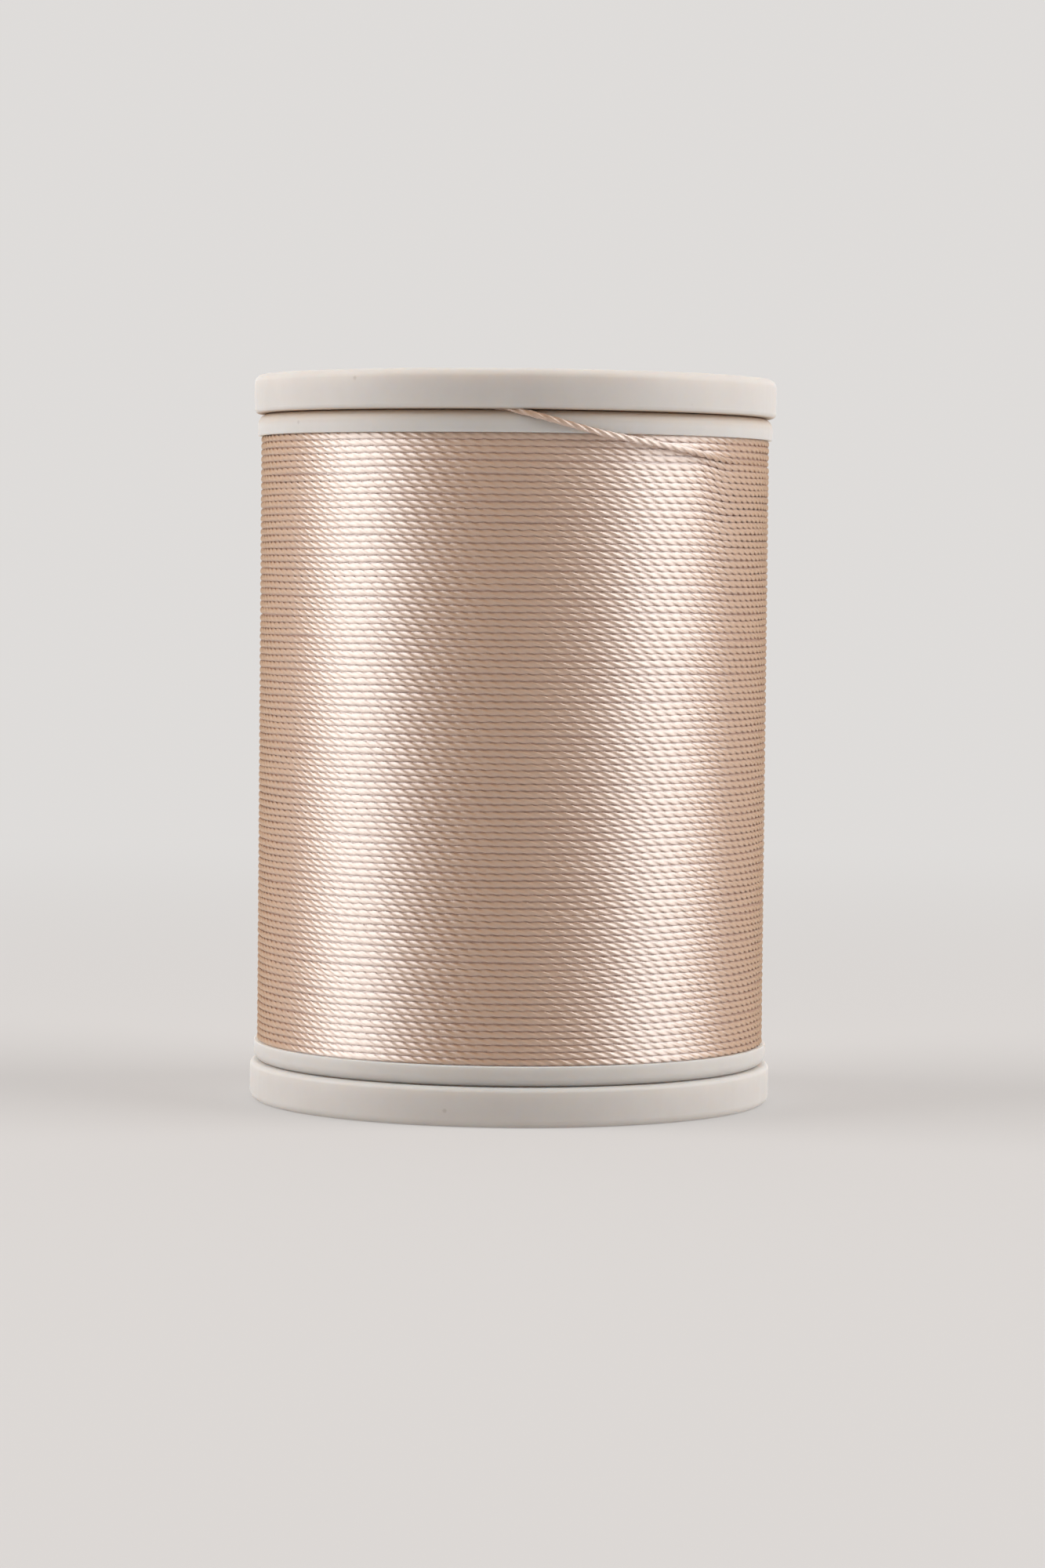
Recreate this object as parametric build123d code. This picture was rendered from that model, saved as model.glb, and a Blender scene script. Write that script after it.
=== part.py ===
"""Snap spool of sewing thread, in millimetres.

+Z runs up the spool's axis. The origin is the centre of the face that the spool stands on.
The spool body is one moulding, a barrel with a thin flange at each end. A dished cap closes each
end: its split stem snaps into the barrel and lets it slide out a little, to free or nip the
thread's tail between the cap's lip and the flange.
"""

import os
from math import cos, pi, radians, sin, sqrt, tan

from build123d import *

# ---------------------------------------------------------------- driving dimensions
# Spool body
BARREL_RADIUS = 7.6
BORE_RADIUS = 6.0
BORE_CHAMFER = 0.5
FLANGE_RADIUS = 14.2
FLANGE_THICKNESS = 1.12
FLANGE_SHOULDER = 0.56  # rounding of each flange's rim, on the side of its cap
WINDING_LENGTH = 33.33  # between the two flanges

# Caps
CAP_OVERHANG = 0.2  # radial, beyond the flange
CAP_HEIGHT = 2.13  # from the end face to the lip
CAP_EDGE = 0.45  # rounding of the end face's rim
CAP_LIP = 0.27  # rounding of the lip, beside the flange
PLATE_THICKNESS = 1.1
SKIRT_WALL = 1.2
STANDING_RIM = 1.3  # width of the flat ring on which the spool stands
RECESS_DEPTH = 0.3  # the end face is sunk between its rim and its hub
HUB_FACE = 1.6  # width of the flat ring round the pin hole
PIN_HOLE_RADIUS = 3.5  # for the spool pin of a sewing machine

# Snap: a ridge on each cap's split stem rides in an undercut groove of the barrel's bore
STEM_CLEARANCE = 0.06  # radial, stem in bore
STEM_WALL = 1.1
CAP_TRAVEL = 1.5
GROOVE_SETBACK = 3.0  # from the flange's face to the groove
GROOVE_DEPTH = 0.35
GROOVE_SLACK = 0.3  # left beyond the ridge when the cap is shut
RIDGE_HEIGHT = 0.25
RIDGE_LAND = 0.3
RIDGE_LENGTH = 0.9  # land and lead-in taper
TIP_DRAW_IN = 0.2  # how far the taper ends inside the stem's own radius
SLOT_COUNT = 4
SLOT_WIDTH = 1.2
SLOT_FLOOR = 1.0  # stem left whole above the plate

# Thread
THREAD_DIAMETER = 0.36
WINDING_SETBACK = 0.15  # of a full spool's thread, inside the flanges' rims
TURNS = 24  # of the outer layer
TURN_GAP = 0.46  # between neighbouring turns
TURN_HEIGHT = 0.42
TURN_CREST = 0.5  # width of a turn's flat crest, as a share of its foot
TURN_MARGIN = 0.12  # from the first and last turn to the flanges
THREAD_NIP = 0.1  # the top cap stands off its flange by the flattened tail

ARC_SHARE = 0.45  # of the shorter run beside it, for each arc of the tail's line

# The tail's line. It lies in the gap under the top turn at these degrees to the right of the front,
TAIL_ALONG_GAP = (112.0, 101.0, 90.0, 79.0, 68.0, 59.0)
TAIL_CLEARANCE = 0.08  # radial, from the layer below
# climbs over the flange, with each place's degrees, distance outside the rim and height over the face,
TAIL_OVER_RIM = [
    (52.5, -0.24, -2.33),
    (47.0, -0.05, -2.16),
    (41.5, 0.06, -1.95),
    (36.0, 0.08, -1.75),
    (29.5, 0.10, -1.53),
    (23.0, 0.16, -1.29),
    (17.5, 0.22, -1.05),
    (12.5, 0.23, -0.74),
    (8.0, 0.20, -0.44),
    (5.2, 0.12, -0.25),
    (3.2, 0.04, -0.13),
]
# is pressed between the flange and the lip, where half its width and half its height change,
TAIL_NIPPED = [
    (1.5, -0.10, -0.025),
    (-0.5, -0.28, 0.035),
    (-4.0, -0.65, 0.05),
    (-9.0, -1.15, 0.052),
]
NIPPED_HALF_SIZES = [(0.18, 0.09), (0.24, 0.05), (0.28, 0.04), (0.28, 0.042)]
# and ends round again, on the flange under the cap.
TAIL_UNDER_CAP = [
    (-17.0, -1.52, 0.18),
    (-30.0, -1.60, 0.18),
    (-42.0, -1.60, 0.18),
    (-54.0, -1.60, 0.18),
    (-66.0, -1.60, 0.18),
    (-78.0, -1.60, 0.18),
]

ROUNDING_STEPS = 3  # cones in a quarter round, each within 0.02 mm of the true arc

# ---------------------------------------------------------------- levels along the axis
FLANGE_LOW = CAP_HEIGHT
WINDING_LOW = FLANGE_LOW + FLANGE_THICKNESS
WINDING_HIGH = WINDING_LOW + WINDING_LENGTH
FLANGE_HIGH = WINDING_HIGH + FLANGE_THICKNESS
TOTAL_HEIGHT = FLANGE_HIGH + THREAD_NIP + CAP_HEIGHT

# radii that follow the flanges
CAP_RADIUS = FLANGE_RADIUS + CAP_OVERHANG
WINDING_RADIUS = FLANGE_RADIUS - WINDING_SETBACK


def turned(points):
    """A solid of revolution from the corners of its half section, each (radius, height)."""
    return revolve(Plane.XZ * make_face(Polyline(*points, close=True)), Axis.Z)


def quarter_round(rim_radius, face_height, rounding, material_above):
    """Half-section points of a rounded rim, from the end face out to the side."""
    away = rounding if material_above else -rounding
    angles = [pi / 2 * step / ROUNDING_STEPS for step in range(ROUNDING_STEPS + 1)]
    return [
        (rim_radius - rounding * (1 - sin(angle)), face_height + away * (1 - cos(angle)))
        for angle in angles
    ]


# ---------------------------------------------------------------- spool body
def bore_outline():
    """The bore's wall, from the lower flange's face up to the other one's, with both grooves."""
    groove_low = FLANGE_LOW + GROOVE_SETBACK
    groove_high = groove_low + CAP_TRAVEL + RIDGE_LENGTH + GROOVE_SLACK
    groove_radius = BORE_RADIUS + GROOVE_DEPTH
    lower = [
        (BORE_RADIUS + BORE_CHAMFER, FLANGE_LOW),
        (BORE_RADIUS, FLANGE_LOW + BORE_CHAMFER),
        (BORE_RADIUS, groove_low),
        (groove_radius, groove_low),
        (groove_radius, groove_high),
        (BORE_RADIUS, groove_high),
    ]
    upper = [(radius, FLANGE_LOW + FLANGE_HIGH - height) for radius, height in reversed(lower)]
    return lower + upper


def spool_body():
    upper_rim = quarter_round(FLANGE_RADIUS, FLANGE_HIGH, FLANGE_SHOULDER, material_above=False)
    lower_rim = quarter_round(FLANGE_RADIUS, FLANGE_LOW, FLANGE_SHOULDER, material_above=True)
    thread_bay = [
        (FLANGE_RADIUS, WINDING_HIGH),
        (BARREL_RADIUS, WINDING_HIGH),
        (BARREL_RADIUS, WINDING_LOW),
        (FLANGE_RADIUS, WINDING_LOW),
    ]
    return turned(bore_outline() + upper_rim + thread_bay + lower_rim[::-1])


# ---------------------------------------------------------------- caps
def cap():
    """A cap as it lies at the bottom, end face down and stem up."""
    stem_radius = BORE_RADIUS - STEM_CLEARANCE
    stem_bore = stem_radius - STEM_WALL
    skirt_bore = CAP_RADIUS - SKIRT_WALL
    ridge_radius = stem_radius + RIDGE_HEIGHT
    ridge_low = FLANGE_LOW + GROOVE_SETBACK + CAP_TRAVEL
    stem_tip = ridge_low + RIDGE_LENGTH
    recess_bore = CAP_RADIUS - CAP_EDGE - STANDING_RIM
    hub_radius = PIN_HOLE_RADIUS + HUB_FACE
    recessed_face = [
        (PIN_HOLE_RADIUS, 0),
        (hub_radius, 0),
        (hub_radius, RECESS_DEPTH),
        (recess_bore, RECESS_DEPTH),
        (recess_bore, 0),
    ]
    rim = quarter_round(CAP_RADIUS, 0, CAP_EDGE, material_above=True)
    lip = quarter_round(CAP_RADIUS, CAP_HEIGHT, CAP_LIP, material_above=False)
    inside = [
        (skirt_bore, CAP_HEIGHT),
        (skirt_bore, PLATE_THICKNESS),
        (stem_radius, PLATE_THICKNESS),
        (stem_radius, ridge_low),
        (ridge_radius, ridge_low),
        (ridge_radius, ridge_low + RIDGE_LAND),
        (stem_radius - TIP_DRAW_IN, stem_tip),
        (stem_bore, stem_tip),
        (stem_bore, PLATE_THICKNESS),
        (PIN_HOLE_RADIUS, PLATE_THICKNESS),
    ]
    shell = turned(recessed_face + rim + lip[::-1] + inside)

    slot_low = PLATE_THICKNESS + SLOT_FLOOR
    slot_size = (ridge_radius + SLOT_WIDTH, SLOT_WIDTH, stem_tip - slot_low)
    slot = Pos(0, 0, slot_low) * Box(*slot_size, align=(Align.MIN, Align.CENTER, Align.MIN))
    pitch_angle = 360 / SLOT_COUNT
    return shell - [Rot(Z=pitch_angle * (k + 0.5)) * slot for k in range(SLOT_COUNT)]


def top_cap():
    return Pos(0, 0, TOTAL_HEIGHT) * Rot(X=180) * cap()


# ---------------------------------------------------------------- wound thread
CORE_RADIUS = WINDING_RADIUS - TURN_HEIGHT
COURSE_RADIUS = WINDING_RADIUS - TURN_HEIGHT / 2
# the turns and the gaps between them fill the length between the two margins
TURN_FOOT = (WINDING_LENGTH - 2 * TURN_MARGIN - (TURNS - 1) * TURN_GAP) / TURNS
TURN_PITCH = TURN_FOOT + TURN_GAP
TOP_TURN = WINDING_HIGH - TURN_MARGIN - TURN_FOOT / 2
FIRST_ANGLE = pi / 4  # the turns start and step down at the back, round +Y
WHOLE_TURN = ((2, 0), (1, 0), (1, TURN_PITCH))  # quarter turns and fall of each run
GUIDE_RISE = 5.0
GAP_POINTS = 12  # on each arc, where the gap between turns is measured

STRAND_HALF_WIDTH = THREAD_DIAMETER / 2
STRAND_HALF_HEIGHT = STRAND_HALF_WIDTH * sin(pi / 3)


def thread_core():
    """The inner layers, as one drum between the barrel and the outer layer."""
    return turned(
        [
            (BARREL_RADIUS, WINDING_LOW),
            (CORE_RADIUS, WINDING_LOW),
            (CORE_RADIUS, WINDING_HIGH),
            (BARREL_RADIUS, WINDING_HIGH),
        ]
    )


def clockwise(angle):
    """The direction of the thread at an angle, seen from above."""
    return Vector(sin(angle), -cos(angle), 0)


def on_course(angle, height):
    return Vector(COURSE_RADIUS * cos(angle), COURSE_RADIUS * sin(angle), height)


def biarc(start, start_way, end, end_way):
    """Two tangent arcs from one point and direction to another."""
    chord = end - start
    along = chord.dot(start_way + end_way)
    opening = 2 * (1 - start_way.dot(end_way))
    reach = (sqrt(along**2 + opening * chord.dot(chord)) - along) / opening
    first_corner = start + start_way * reach
    last_corner = end - end_way * reach
    middle = (first_corner + last_corner) * 0.5
    middle_way = (last_corner - first_corner).normalized()
    return [
        TangentArc(start, middle, tangent=start_way),
        TangentArc(middle, end, tangent=middle_way),
    ]


def turn_line(runs, height):
    """Biarcs round the drum, each run a number of quarter turns and the height it loses."""
    angle = FIRST_ANGLE
    line = []
    for quarters, fall in runs:
        start, start_way = on_course(angle, height), clockwise(angle)
        angle -= quarters * pi / 2
        height -= fall
        line += biarc(start, start_way, on_course(angle, height), clockwise(angle))
    return line


def joined(line):
    return Wire([edge for piece in line for edge in piece.edges()])


def across(place, way):
    """The plane across a direction at a place: x outwards, y up."""
    return Plane(origin=place, x_dir=Vector(0, 0, 1).cross(way), z_dir=way)


def turn_section(line):
    """A turn's section: a broad foot on the drum and a narrower crest."""
    half_height, half_foot = TURN_HEIGHT / 2, TURN_FOOT / 2
    half_crest = half_foot * TURN_CREST
    corners = [
        (-half_height, -half_foot),
        (half_height, -half_crest),
        (half_height, half_crest),
        (-half_height, half_foot),
    ]
    return across(line @ 0, line % 0) * make_face(Polyline(*corners, close=True))


def swept(make_line, section_of):
    """A tube along a line. The same line, raised, keeps its section upright all the way."""
    line = joined(make_line(0))
    return sweep(section_of(line), path=line, binormal=joined(make_line(GUIDE_RISE)))


def straight_end(angle, height, ahead):
    """One turn's width of straight thread, before the first turn or after the last."""
    near = on_course(angle, height)
    far = near + clockwise(angle) * TURN_FOOT * ahead
    return [Line(near, far) if ahead > 0 else Line(far, near)]


def least_gap():
    """The least clear distance between neighbouring turns, from points on one to the next."""
    upper = turn_line(WHOLE_TURN, TOP_TURN)
    lower = turn_line(WHOLE_TURN, TOP_TURN - TURN_PITCH)
    distances = []
    for number, arc in enumerate(upper):
        beside = joined(lower[max(number - 1, 0) : number + 2])
        points = [Vertex(arc @ (step / GAP_POINTS)) for step in range(GAP_POINTS + 1)]
        distances += [beside.distance_to(point) for point in points]
    return min(distances) - TURN_FOOT


def thread_winding():
    """The outer layer: turn after turn in one unbroken length, flat where it lies on the drum.

    Each turn is level for three quarters and steps down to the next in the last quarter.
    """
    last_height = TOP_TURN - TURN_PITCH * (TURNS - 1)
    last_angle = FIRST_ANGLE - 3 * pi / 2
    turn = swept(lambda rise: turn_line(WHOLE_TURN, TOP_TURN + rise), turn_section)
    ends = [
        swept(lambda rise: straight_end(FIRST_ANGLE, TOP_TURN + rise, -1), turn_section),
        swept(lambda rise: turn_line(WHOLE_TURN[:2], last_height + rise), turn_section),
        swept(lambda rise: straight_end(last_angle, last_height + rise, 1), turn_section),
    ]
    tube = Part() + ends + [Pos(0, 0, -TURN_PITCH * k) * turn for k in range(TURNS - 1)]
    print("winding:", TURNS, "turns, least gap to itself", round(least_gap(), 3), "mm")
    return tube


# ---------------------------------------------------------------- the thread's tail
def around(degrees, radius, height):
    """A point from its angle to the right of the front, distance from the axis and height."""
    angle = radians(degrees)
    return Vector(radius * sin(angle), -radius * cos(angle), height)


def from_rim(places):
    """Points from their degrees, distance outside the upper flange's rim and height over its face."""
    return [around(turn, FLANGE_RADIUS + out, FLANGE_HIGH + up) for turn, out, up in places]


def route_line(places, rise):
    """Straight runs joined by arcs as large as the runs allow."""
    corners = [place + Vector(0, 0, rise) for place in places]
    runs = [after - before for before, after in zip(corners, corners[1:])]
    radii = [
        ARC_SHARE * min(before.length, after.length) / tan(radians(before.get_angle(after)) / 2)
        for before, after in zip(runs, runs[1:])
    ]
    return [FilletPolyline(*corners, radius=radii)]


def strand_section(plane, half_width, half_height):
    """The thread as six flats: regular where it is free, low and wide where it is pressed."""
    corners = [
        (half_width * cos(k * pi / 3), half_height * sin(k * pi / 3) / sin(pi / 3)) for k in range(6)
    ]
    return plane * make_face(Polyline(*corners, close=True))


def free_section(line):
    return strand_section(across(line @ 0, line % 0), STRAND_HALF_WIDTH, STRAND_HALF_HEIGHT)


def arc_radii(line):
    return [round(edge.radius, 1) for edge in line.edges() if edge.geom_type == GeomType.CIRCLE]


def thread_tail():
    """The loose end: out from between two turns, over the flange's rim and through the nip."""
    gap_radius = CORE_RADIUS + STRAND_HALF_WIDTH + TAIL_CLEARANCE
    gap_height = TOP_TURN - TURN_PITCH / 2
    in_gap = [around(turn, gap_radius, gap_height) for turn in TAIL_ALONG_GAP]
    free_places = in_gap + from_rim(TAIL_OVER_RIM)
    parked_places = from_rim(TAIL_UNDER_CAP)
    free = swept(lambda rise: route_line(free_places, rise), free_section)
    parked = swept(lambda rise: route_line(parked_places, rise), free_section)

    free_line, parked_line = [joined(route_line(p, 0)) for p in (free_places, parked_places)]
    stations = [free_line @ 1] + from_rim(TAIL_NIPPED) + [parked_line @ 0]
    ways = [free_line % 1] + [(b - a).normalized() for a, b in zip(stations, stations[2:])]
    half_sizes = [(STRAND_HALF_WIDTH, STRAND_HALF_HEIGHT)] + NIPPED_HALF_SIZES
    sections = [
        strand_section(across(place, way), *half_size)
        for place, way, half_size in zip(stations, ways, half_sizes)
    ]
    nipped = loft(sections + [free_section(parked_line)], ruled=True)

    swept_share = free.volume / (sections[0].area * free_line.length)
    nipped_length = sum((b - a).length for a, b in zip(stations, stations[1:]))
    length = free_line.length + nipped_length + parked_line.length
    print("tail: length", round(length, 1), "mm, volume over section times length", round(swept_share, 3))
    print("tail: arc radii", arc_radii(free_line) + arc_radii(parked_line), "mm")
    return free + nipped + parked


# ---------------------------------------------------------------- build
os.makedirs("parts", exist_ok=True)
PIECES = {
    "spool_body": spool_body(),
    "bottom_cap": cap(),
    "top_cap": top_cap(),
    "thread_core": thread_core(),
    "thread_winding": thread_winding(),
    "thread_tail": thread_tail(),
}
for name, piece in PIECES.items():
    export_step(piece, f"parts/{name}.step")
    print(name, "volume", round(piece.volume, 1), "mm3")
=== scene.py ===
# %% [markdown]
# # A snap spool of sewing thread
# The spool is a white plastic barrel with two flanges, closed at each end by a dished cap. It is full of
# lustrous three-ply thread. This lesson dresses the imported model: it finishes the three mouldings, winds
# the thread row by row, and lays the thread's tail over the upper flange and under the top cap.

# %% Load the model
from math import cos, pi, radians, sin

import bmesh
import bpy
from mathutils import Matrix, Vector


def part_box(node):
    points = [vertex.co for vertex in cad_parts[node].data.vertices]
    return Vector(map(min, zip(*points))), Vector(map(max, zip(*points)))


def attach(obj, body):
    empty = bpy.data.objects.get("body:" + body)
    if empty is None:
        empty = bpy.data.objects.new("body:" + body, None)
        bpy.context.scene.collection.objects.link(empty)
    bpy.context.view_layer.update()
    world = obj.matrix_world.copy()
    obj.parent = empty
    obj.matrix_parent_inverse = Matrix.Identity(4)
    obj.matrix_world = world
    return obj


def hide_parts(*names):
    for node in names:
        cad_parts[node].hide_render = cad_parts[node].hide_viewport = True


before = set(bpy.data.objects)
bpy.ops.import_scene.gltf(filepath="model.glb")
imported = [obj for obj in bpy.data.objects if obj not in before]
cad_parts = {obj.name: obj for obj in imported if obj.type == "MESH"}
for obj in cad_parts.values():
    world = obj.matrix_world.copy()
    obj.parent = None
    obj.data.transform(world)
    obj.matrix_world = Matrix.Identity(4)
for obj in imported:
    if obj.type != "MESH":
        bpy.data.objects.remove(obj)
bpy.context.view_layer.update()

# %% [markdown]
# The model's own boxes give the levels and radii on which everything else is built, so the looks always
# fit the mechanism.

# %% Measure the model
MM = 0.001

cap_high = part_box("top_cap")[1]
body_low, body_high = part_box("spool_body")
winding_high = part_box("thread_winding")[1]
core_low, core_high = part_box("thread_core")

TOTAL_HEIGHT = cap_high.z
CAP_RADIUS = cap_high.x
FLANGE_RADIUS = body_high.x
FLANGE_LOW, FLANGE_HIGH = body_low.z, body_high.z
CAP_HEIGHT = FLANGE_LOW
WINDING_LOW, WINDING_HIGH = core_low.z, core_high.z
WINDING_RADIUS = winding_high.x
print("spool", round(TOTAL_HEIGHT / MM, 2), "mm tall, caps", round(2 * CAP_RADIUS / MM, 2), "mm across")

# %% [markdown]
# The camera is a long lens a quarter of a metre away, a little above the middle of the spool and looking
# slightly down. From there the rows of thread look nearly level from the top to the bottom.

# %% Camera
FOCAL_LENGTH = 108.0
SENSOR_WIDTH = 36.0
NEAREST_SEEN = 10 * MM
CAMERA_PLACE = (0.59 * MM, -260.8 * MM, 30.06 * MM)
CAMERA_DOWN = 2.762  # degrees
CAMERA_ROLL = 0.575

camera_data = bpy.data.cameras.new("camera")
camera_data.lens = FOCAL_LENGTH
camera_data.sensor_width = SENSOR_WIDTH
camera_data.clip_start = NEAREST_SEEN
camera = bpy.data.objects.new("camera", camera_data)
bpy.context.scene.collection.objects.link(camera)
bpy.context.scene.camera = camera
camera_tilt = Matrix.Rotation(radians(90 - CAMERA_DOWN), 4, "X")
camera_roll = Matrix.Rotation(radians(CAMERA_ROLL), 4, "Z")
camera.matrix_world = Matrix.Translation(CAMERA_PLACE) @ camera_tilt @ camera_roll
print("camera at", [round(v, 4) for v in camera.location])


# %% [markdown]
# Shader and geometry trees are easier to read when each node is one line. The first helper adds a node,
# sets its sockets by name, and joins any socket that is given as another node's output. The others are
# short names for the four nodes that this lesson uses most.

# %% Short ways to write nodes
def add_node(tree, kind, settings=None, **sockets):
    """Add a node. Settings are its own properties; sockets are values, or outputs to join."""
    node = tree.nodes.new(kind)
    for name, value in (settings or {}).items():
        setattr(node, name, value)
    for name, value in sockets.items():
        socket = node.inputs[int(name[1:])] if name[1:].isdigit() else node.inputs[name.replace("_", " ")]
        if isinstance(value, bpy.types.NodeSocket):
            tree.links.new(value, socket)
        else:
            socket.default_value = value
    return node


def math_node(tree, operation, first, second=0.0, third=0.0):
    settings = {"operation": operation}
    return add_node(tree, "ShaderNodeMath", settings, _0=first, _1=second, _2=third).outputs[0]


def smooth_range(tree, value, start, end, low=0.0, high=1.0):
    """Low before the start, high past the end, and a smooth change from one to the other between them."""
    return add_node(
        tree,
        "ShaderNodeMapRange",
        {"interpolation_type": "SMOOTHSTEP"},
        Value=value,
        From_Min=start,
        From_Max=end,
        To_Min=low,
        To_Max=high,
    ).outputs[0]


def blended(tree, share, first, second):
    """A colour that is the first where the share is 0 and the second where it is 1."""
    settings = {"data_type": "RGBA"}
    return add_node(tree, "ShaderNodeMix", settings, Factor=share, _6=first, _7=second).outputs[2]


def noise(tree, dimensions="3D", **sockets):
    """A noise's value and colour, which change about once in each unit of the place given."""
    settings = {"noise_dimensions": dimensions}
    return add_node(tree, "ShaderNodeTexNoise", settings, Scale=1.0, **sockets).outputs


# %% [markdown]
# The backdrop is a pale sheet behind the spool, and the room on the camera's side is dim and a little warm.
# That dim side is what keeps the middle of the spool quiet between its two bright bands. The camera and
# what it sees through the model get the sheet everywhere, so that no view looks into the dark.

# %% Surroundings
WALL_COLOUR = (0.735, 0.716, 0.701, 1.0)
ROOM_COLOUR = (0.10, 0.084, 0.07, 1.0)
CEILING_COLOUR = (0.26, 0.245, 0.23, 1.0)
# how steeply up and how far backwards a ray goes: 0 is level or sideways, 1 is straight
CEILING_START, CEILING_END = 0.1, 1.0
WALL_START, WALL_END = -0.1, 0.6

world = bpy.data.worlds.new("studio")
bpy.context.scene.world = world
world.use_nodes = True
sky = world.node_tree
sky.nodes.clear()
light_path = add_node(sky, "ShaderNodeLightPath").outputs
sees_wall = math_node(sky, "MAXIMUM", light_path["Is Camera Ray"], light_path["Is Transmission Ray"])
ray = add_node(sky, "ShaderNodeTexCoord").outputs["Generated"]
ray_way = add_node(sky, "ShaderNodeSeparateXYZ", Vector=ray).outputs
upwards = smooth_range(sky, ray_way["Z"], CEILING_START, CEILING_END)
backwards = smooth_range(sky, ray_way["Y"], WALL_START, WALL_END)
room = blended(sky, upwards, ROOM_COLOUR, CEILING_COLOUR)
lit_room = blended(sky, backwards, room, WALL_COLOUR)
seen = blended(sky, sees_wall, lit_room, WALL_COLOUR)
surroundings = add_node(sky, "ShaderNodeBackground", Color=seen, Strength=1.0)
add_node(sky, "ShaderNodeOutputWorld", Surface=surroundings.outputs[0])
print("studio:", len(sky.nodes), "nodes")


# %% [markdown]
# Near the spool the floor is a real surface, so it takes the spool's shadow. Part of its brightness is a
# glow of its own, which keeps that shadow as faint as it is on a brightly lit sheet. Further out the floor
# turns into plain light of the sheet's own colour, which hides where it ends. The distance is measured from
# a place a little in front of the spool, where the sheet is brightest.

# %% Floor
def new_material(name):
    material = bpy.data.materials.new(name)
    material.use_nodes = True
    tree = material.node_tree
    tree.nodes.clear()
    return material, tree


FLOOR_COLOUR = (0.57, 0.545, 0.53, 1.0)
FLOOR_GLOW = 0.42
FLOOR_REACH = 6.0
BRIGHTEST_IN_FRONT = 100 * MM
FADE_START, FADE_END = 120 * MM, 340 * MM

floor_material, tree = new_material("pale_floor")
place = add_node(tree, "ShaderNodeTexCoord").outputs["Object"]
from_brightest = add_node(tree, "ShaderNodeMapping", Vector=place, Location=(0, BRIGHTEST_IN_FRONT, 0))
distance = add_node(tree, "ShaderNodeVectorMath", {"operation": "LENGTH"}, _0=from_brightest.outputs[0])
fade = smooth_range(tree, distance.outputs["Value"], FADE_START, FADE_END, low=FLOOR_GLOW)
paper = add_node(tree, "ShaderNodeBsdfDiffuse", Color=FLOOR_COLOUR)
glow = add_node(tree, "ShaderNodeEmission", Color=WALL_COLOUR, Strength=1.0)
sheet = add_node(tree, "ShaderNodeMixShader", Fac=fade, _1=paper.outputs[0], _2=glow.outputs[0])
add_node(tree, "ShaderNodeOutputMaterial", Surface=sheet.outputs[0])

corners = [(x * FLOOR_REACH, y * FLOOR_REACH, 0) for x, y in ((-1, -1), (1, -1), (1, 1), (-1, 1))]
floor_mesh = bpy.data.meshes.new("floor")
floor_mesh.from_pydata(corners, [], [(0, 1, 2, 3)])
floor_mesh.materials.append(floor_material)
floor = bpy.data.objects.new("floor", floor_mesh)
bpy.context.scene.collection.objects.link(floor)
print(f"floor turns to light {FADE_START / MM:.0f} to {FADE_END / MM:.0f} mm from its brightest place")


# %% [markdown]
# Two tall softboxes, one well to each side, give the thread its two pale bands and leave its middle quiet.
# The upper side of every row is lit by the ceiling's own faint glow.

# %% Lamps
SOFTBOX_DISTANCE, SOFTBOX_HEIGHT = 0.50, 0.30
SOFTBOX_WIDTH, SOFTBOX_TALL = 0.45, 0.80
SOFTBOX_POWER = 3.85


def softbox(name, bearing):
    """A rectangular lamp that faces the spool. Its bearing is in degrees to the right of the camera."""
    data = bpy.data.lights.new(name, "AREA")
    data.shape = "RECTANGLE"
    data.size, data.size_y = SOFTBOX_WIDTH, SOFTBOX_TALL
    data.energy = SOFTBOX_POWER
    lamp = bpy.data.objects.new(name, data)
    bpy.context.scene.collection.objects.link(lamp)
    bearing = radians(bearing)
    lamp.location = (SOFTBOX_DISTANCE * sin(bearing), -SOFTBOX_DISTANCE * cos(bearing), SOFTBOX_HEIGHT)
    aim = Vector((0, 0, TOTAL_HEIGHT / 2)) - lamp.location
    lamp.rotation_euler = aim.to_track_quat("-Z", "Y").to_euler()
    print(name, "at", [round(v, 3) for v in lamp.location])


softbox("left_softbox", bearing=-79)
softbox("right_softbox", bearing=77)

# %% [markdown]
# ## White plastic
# The mouldings are a soft white plastic with a satin skin. Up close it shows faint upright streaks from the
# mould, a fine mottle and a few specks. All of that comes from noise on the object's own coordinates, so
# none of it has to be painted on. The shade on the upper flange's shoulder under the top cap is painted
# shade in the colour. Some light goes in and comes out nearby, which softens the shadows.

# %% Plastic
PLASTIC_COLOUR = (0.62, 0.59, 0.565, 1.0)
PLASTIC_SHADE = (0.57, 0.535, 0.505, 1.0)
MOTTLE_RATE = 420.0  # changes in each metre
STREAK_RATE = (1600.0, 1600.0, 160.0)
GLOSSIEST, DULLEST = 0.46, 0.6
SPECK_COLOUR = (0.30, 0.24, 0.20, 1.0)
SPECK_RATE = 330.0
SPECK_EDGE, SPECK_CORE = 0.05, 0.02
SPECK_STRENGTH = 0.35
# the colour of the painted shade under the top cap's lip
SEAM_SHADE_COLOUR = (0.47, 0.37, 0.29, 1.0)
SEAM_REACH = 0.78 * MM
SEAM_SHARPNESS = 6.0  # the painted shade ends this many times sooner above the seam than below it
FLANGE_RISE = 0.08 * MM
FLANGE_TOP = FLANGE_HIGH + FLANGE_RISE

plastic, tree = new_material("satin_white_plastic")
place = add_node(tree, "ShaderNodeTexCoord").outputs["Object"]
mottle = add_node(tree, "ShaderNodeTexNoise", Vector=place, Scale=MOTTLE_RATE, Detail=4.0, Roughness=0.6)
base = blended(tree, mottle.outputs[0], PLASTIC_SHADE, PLASTIC_COLOUR)
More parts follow.
